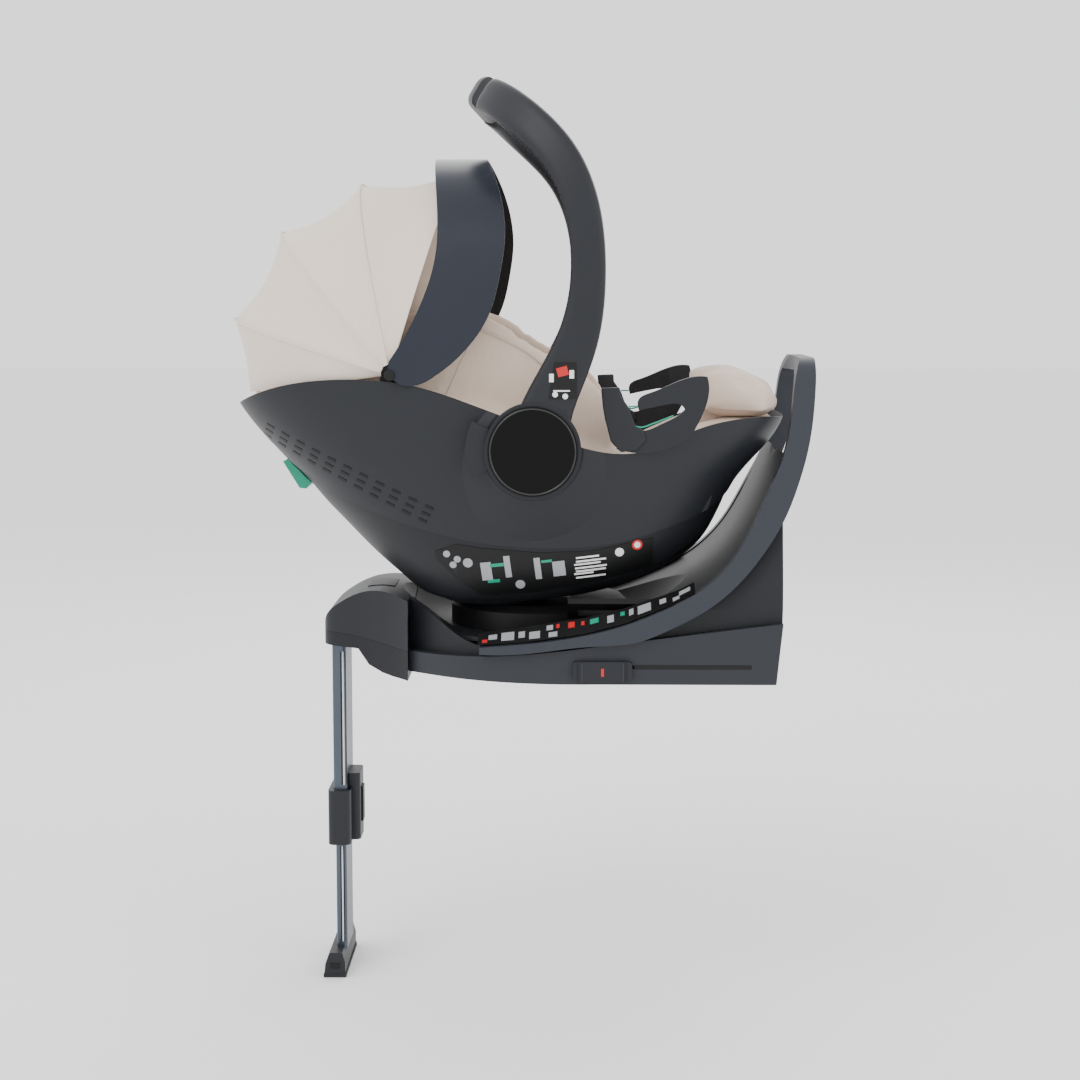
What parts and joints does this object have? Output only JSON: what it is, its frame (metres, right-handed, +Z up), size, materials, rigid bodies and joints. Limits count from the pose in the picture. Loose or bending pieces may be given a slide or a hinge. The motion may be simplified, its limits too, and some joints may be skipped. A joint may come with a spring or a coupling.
{
  "type": "infant car seat",
  "caption": "Rear-facing infant carrier with a folding canopy and a carry handle, on a swivelling car base with rigid anchor arms, an anti-rebound bar and a folding support leg.",
  "frame": {"origin": "where the swivel axis meets the flat underside of the base", "axes": "+X towards the foot end of the carrier and the car's backrest, +Y across, +Z up"},
  "size_m": [0.6764, 0.444, 1.0638],
  "materials": {
    "slate_plastic": "fine moulded grain, satin",
    "band_plastic": "smooth satin, slightly lighter",
    "visor_plastic": "satin with a soft gleam",
    "black_plastic": "black, satin",
    "hub_black": "black, polished edge",
    "cream_fabric": "woven cream cloth with stitched seams",
    "canopy_fabric": "smooth woven cream cloth",
    "lining_fabric": "black knitted lining",
    "foam_grey": "expanded bead foam",
    "webbing": "woven harness webbing",
    "leg_aluminium": "anodised, brushed along its length",
    "steel": "bright bar",
    "green_plastic": "coloured control",
    "red_plastic": "coloured control",
    "sole_rubber": "matt"
  },
  "bodies": {
    "base": {"rebound_bar": "band_plastic", "upper_housing": "slate_plastic", "lower_housing": "slate_plastic", "leg_head": "slate_plastic", "leg_yoke": "slate_plastic", "leg_hinge_pin": "steel", "bearing_ring": "black_plastic", "arm_guides": "steel"},
    "nose_button": {"nose_button": "slate_plastic"},
    "bowl_handle": {"bowl_handle": "black_plastic"},
    "turntable": {"turntable": "black_plastic", "latch_saddles": "steel"},
    "carrier": {"upper_shell": "slate_plastic", "lower_shell": "slate_plastic", "energy_foam": "foam_grey", "seat_liner": "cream_fabric", "newborn_insert": "cream_fabric", "foot_cushion": "cream_fabric", "handle_axles": "black_plastic", "latch_bars": "steel", "belt_guides": "slate_plastic", "canopy_pins": "black_plastic", "canopy_panel_1": "canopy_fabric", "harness_strap_near": "webbing", "harness_strap_far": "webbing", "shoulder_pad_near": "cream_fabric", "shoulder_pad_far": "cream_fabric", "crotch_pad": "cream_fabric", "buckle": "black_plastic", "adjuster_strap": "webbing"},
    "headrest": {"headrest": "cream_fabric"},
    "release_lever": {"release_lever": "green_plastic"},
    "adjuster_button": {"adjuster_button": "black_plastic"},
    "buckle_button": {"buckle_button": "red_plastic"},
    "handle": {"handle_bow": "slate_plastic", "handle_grip": "slate_plastic", "hub_caps": "hub_black"},
    "handle_button_near": {"handle_button_near": "slate_plastic"},
    "handle_button_far": {"handle_button_far": "slate_plastic"},
    "rib_1": {"canopy_rib_1": "black_plastic", "canopy_panel_2": "canopy_fabric"},
    "rib_2": {"canopy_rib_2": "black_plastic", "canopy_panel_3": "canopy_fabric"},
    "rib_3": {"canopy_rib_3": "black_plastic", "canopy_panel_4": "canopy_fabric"},
    "visor": {"canopy_visor": "visor_plastic", "visor_lining": "lining_fabric"},
    "leg": {"leg_bracket": "black_plastic", "upper_tube": "leg_aluminium", "leg_collar": "slate_plastic"},
    "leg_button": {"leg_button": "black_plastic"},
    "leg_slide": {"lower_tube": "leg_aluminium", "leg_foot": "slate_plastic", "leg_sole": "sole_rubber"},
    "anchor_arms": {"anchor_arms": "steel", "slider_blocks": "slate_plastic"},
    "arm_button_near": {"arm_button_near": "green_plastic"},
    "arm_button_far": {"arm_button_far": "green_plastic"}
  },
  "joints": [
    {"name": "swivel", "type": "hinge", "parent": "base", "child": "turntable", "pos_m": [0, 0, 0.05], "axis": [0, 0, 1], "range_deg": [-90, 90]},
    {"name": "carrier_lift", "type": "slide", "parent": "turntable", "child": "carrier", "axis": [0, 0, 1], "range_m": [0, 0.3]},
    {"name": "handle_turn", "type": "hinge", "parent": "carrier", "child": "handle", "pos_m": [-0.0044, 0, 0.2648], "axis": [0, 1, 0], "range_deg": [-95, 70]},
    {"name": "handle_button_near_press", "type": "slide", "parent": "handle", "child": "handle_button_near", "axis": [0, 1, 0], "range_m": [0, 0.0025], "stiffness_N_per_m": 400},
    {"name": "handle_button_far_press", "type": "slide", "parent": "handle", "child": "handle_button_far", "axis": [0, -1, 0], "range_m": [0, 0.0025], "stiffness_N_per_m": 400},
    {"name": "canopy_fold", "type": "hinge", "parent": "carrier", "child": "rib_1", "pos_m": [-0.1625, 0, 0.3465], "axis": [0, -1, 0], "range_deg": [0, 12], "deforming": ["canopy_panel_1"]},
    {"name": "rib_2_turn", "type": "hinge", "parent": "rib_1", "child": "rib_2", "pos_m": [-0.1625, 0, 0.3465], "axis": [0, -1, 0], "range_deg": [0, 21.6], "deforming": ["canopy_panel_2"]},
    {"name": "rib_3_turn", "type": "hinge", "parent": "rib_2", "child": "rib_3", "pos_m": [-0.1625, 0, 0.3465], "axis": [0, -1, 0], "range_deg": [0, 20.4], "deforming": ["canopy_panel_3"]},
    {"name": "visor_turn", "type": "hinge", "parent": "rib_3", "child": "visor", "pos_m": [-0.1625, 0, 0.3465], "axis": [0, -1, 0], "range_deg": [0, 12], "deforming": ["canopy_panel_4"]},
    {"name": "headrest_slide", "type": "slide", "parent": "carrier", "child": "headrest", "axis": [-0.35, 0, 0.9367], "range_m": [0, 0.045]},
    {"name": "release_lever_pull", "type": "hinge", "parent": "carrier", "child": "release_lever", "pos_m": [-0.271, 0, 0.2115], "axis": [0, -1, 0], "range_deg": [0, 14], "stiffness_Nm_per_rad": 0.4},
    {"name": "adjuster_press", "type": "slide", "parent": "carrier", "child": "adjuster_button", "axis": [0, 0, -1], "range_m": [0, 0.003], "stiffness_N_per_m": 400},
    {"name": "buckle_press", "type": "slide", "parent": "carrier", "child": "buckle_button", "axis": [0, 0, -1], "range_m": [0, 0.003], "stiffness_N_per_m": 400},
    {"name": "nose_button_press", "type": "slide", "parent": "base", "child": "nose_button", "axis": [0, 0, -1], "range_m": [0, 0.0035], "stiffness_N_per_m": 400},
    {"name": "bowl_handle_press", "type": "slide", "parent": "base", "child": "bowl_handle", "axis": [0, -0.6157, -0.788], "range_m": [0, 0.0035], "stiffness_N_per_m": 400},
    {"name": "leg_fold", "type": "hinge", "parent": "base", "child": "leg", "pos_m": [-0.205, 0, 0.038], "axis": [0, -1, 0], "range_deg": [0, 90]},
    {"name": "leg_length", "type": "slide", "parent": "leg", "child": "leg_slide", "axis": [0, 0, -1], "range_m": [-0.1, 0.075]},
    {"name": "leg_button_press", "type": "slide", "parent": "leg", "child": "leg_button", "axis": [-1, 0, 0], "range_m": [0, 0.003], "stiffness_N_per_m": 400},
    {"name": "anchor_slide", "type": "slide", "parent": "base", "child": "anchor_arms", "axis": [1, 0, 0], "range_m": [0, 0.13]},
    {"name": "arm_button_near_press", "type": "slide", "parent": "anchor_arms", "child": "arm_button_near", "axis": [-1, 0, 0], "range_m": [0, 0.0008], "stiffness_N_per_m": 800},
    {"name": "arm_button_far_press", "type": "slide", "parent": "anchor_arms", "child": "arm_button_far", "axis": [-1, 0, 0], "range_m": [0, 0.0008], "stiffness_N_per_m": 800}
  ],
  "couplings": [
    {"joint": "rib_2_turn", "follows": "canopy_fold", "ratio": 1.8},
    {"joint": "rib_3_turn", "follows": "canopy_fold", "ratio": 1.7},
    {"joint": "visor_turn", "follows": "canopy_fold", "ratio": 1}
  ]
}
